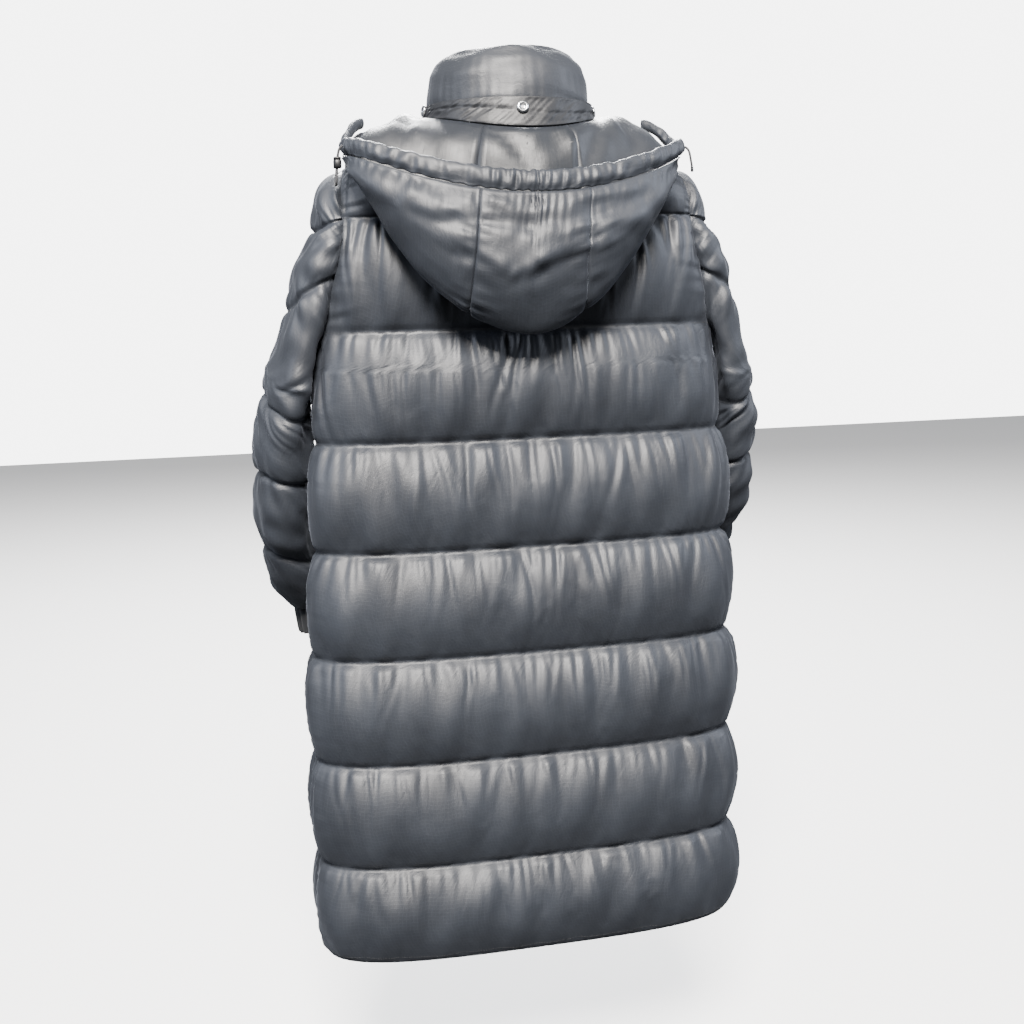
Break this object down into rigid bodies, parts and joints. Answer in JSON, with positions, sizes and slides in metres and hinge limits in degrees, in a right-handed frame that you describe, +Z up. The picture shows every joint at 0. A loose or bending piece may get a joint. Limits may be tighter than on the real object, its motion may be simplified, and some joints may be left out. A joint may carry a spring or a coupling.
{
  "type": "long puffer coat",
  "caption": "Long hooded puffer coat, filled out as worn: quilted body and sleeves, puffed stand collar, hood hanging down the back, ribbed cuffs and a front zip.",
  "frame": {"origin": "on the coat's middle plane, between the two shoulders, at the level of the neck seam at the back", "axes": "+Z up along the back, +X towards the wearer's left, +Y towards the back; the zip faces -Y"},
  "size_m": [0.709, 0.3975, 1.1871],
  "materials": {
    "shell_cloth": "light nylon taffeta with a satin sheen, quilted over filling",
    "collar_cloth": "light nylon taffeta with a satin sheen, filled",
    "lining_satin": "smooth light polyester satin",
    "band_cloth": "dark satin ribbon, rib knit and woven zip tape",
    "cord": "round braided cord",
    "toggle_plastic": "moulded black plastic",
    "snap_metal": "plated ring snap",
    "zip_metal": "dark plated zip metal"
  },
  "bodies": {
    "coat": {"back": "shell_cloth", "front_left_upper": "shell_cloth", "front_left_lower": "shell_cloth", "front_right_upper": "shell_cloth", "front_right_lower": "shell_cloth", "sleeve_left_upper": "shell_cloth", "sleeve_left_lower": "shell_cloth", "sleeve_right_upper": "shell_cloth", "sleeve_right_lower": "shell_cloth", "hood_left": "shell_cloth", "hood_centre": "shell_cloth", "hood_right": "shell_cloth", "hood_rim": "shell_cloth", "collar": "collar_cloth", "hood_lining_left": "lining_satin", "hood_lining_centre": "lining_satin", "hood_lining_right": "lining_satin", "hood_band": "band_cloth", "cuff_left": "band_cloth", "cuff_right": "band_cloth", "zip_tape_left": "band_cloth", "zip_tape_right": "band_cloth", "snap_left": "snap_metal", "snap_centre": "snap_metal", "snap_right": "snap_metal", "zip_coil": "zip_metal", "zip_slider": "zip_metal", "zip_slider_bridge": "zip_metal", "drawcord_loop": "cord", "drawcord_end": "cord", "drawcord_toggle": "toggle_plastic"},
    "zip_pull": {"zip_pull_tab": "zip_metal"}
  },
  "joints": [
    {"name": "zip_pull_hinge", "type": "hinge", "parent": "coat", "child": "zip_pull", "pos_m": [0, -0.08939, -0.0028], "axis": [-1, 0, 0], "range_deg": [0, 150]}
  ]
}
